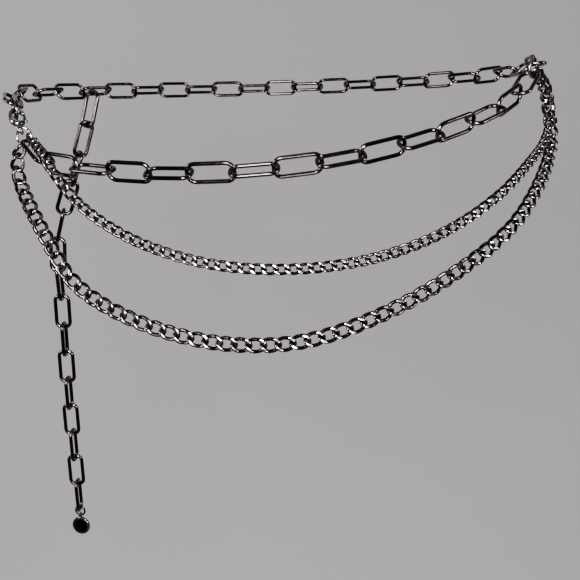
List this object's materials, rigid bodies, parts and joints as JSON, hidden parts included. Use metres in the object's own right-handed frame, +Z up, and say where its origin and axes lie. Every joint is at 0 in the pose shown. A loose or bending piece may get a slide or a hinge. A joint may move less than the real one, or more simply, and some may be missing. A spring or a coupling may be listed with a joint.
{
  "type": "chain belt",
  "caption": "Layered chain belt in its worn shape: a long-link chain round the hips, two curb chain swags, a lobster clasp and a hanging tail with a disc charm.",
  "frame": {"origin": "middle of the wearer's hips, level with the top of the clasp", "axes": "+Z up, the front of the belt faces -Y, +X is the right-hand side seen from the front"},
  "size_m": [0.3497, 0.2457, 0.3779],
  "materials": {
    "long_chain": "polished dark gunmetal plating",
    "large_curb": "polished dark gunmetal plating",
    "small_curb": "polished dark gunmetal plating",
    "ring": "polished dark gunmetal plating",
    "clasp": "polished dark gunmetal plating",
    "charm": "polished black nickel plating"
  },
  "bodies": {
    "belt": {"clasp_body": "clasp", "clasp_lever": "clasp", "left_ring": "ring", "right_ring": "ring", "front_chain_1": "long_chain", "front_chain_2": "long_chain", "front_chain_3": "long_chain", "front_chain_4": "long_chain", "back_chain_1": "long_chain", "back_chain_2": "long_chain", "back_chain_3": "long_chain", "back_chain_4": "long_chain", "back_chain_5": "long_chain", "back_chain_6": "long_chain", "middle_swag_1": "small_curb", "middle_swag_2": "small_curb", "middle_swag_3": "small_curb", "middle_swag_4": "small_curb", "middle_swag_5": "small_curb", "middle_swag_6": "small_curb", "middle_swag_7": "small_curb", "middle_swag_8": "small_curb", "lower_swag_1": "large_curb", "lower_swag_2": "large_curb", "lower_swag_3": "large_curb", "lower_swag_4": "large_curb", "lower_swag_5": "large_curb", "lower_swag_6": "large_curb", "lower_swag_7": "large_curb", "lower_swag_8": "large_curb", "tail_chain_1": "long_chain", "tail_chain_2": "long_chain", "tail_chain_3": "long_chain", "tail_chain_4": "long_chain"},
    "ring": {"charm_ring": "ring"},
    "disc": {"charm_disc": "charm"}
  },
  "joints": [
    {"name": "charm_swing", "type": "hinge", "parent": "belt", "child": "ring", "pos_m": [-0.16682, 0.07027, -0.3255], "axis": [0.2094, 0.9778, 0], "range_deg": [-60, 60]},
    {"name": "disc_swing", "type": "hinge", "parent": "ring", "child": "disc", "pos_m": [-0.16682, 0.07027, -0.33103], "axis": [0.9778, -0.2094, 0], "range_deg": [-60, 60]}
  ]
}
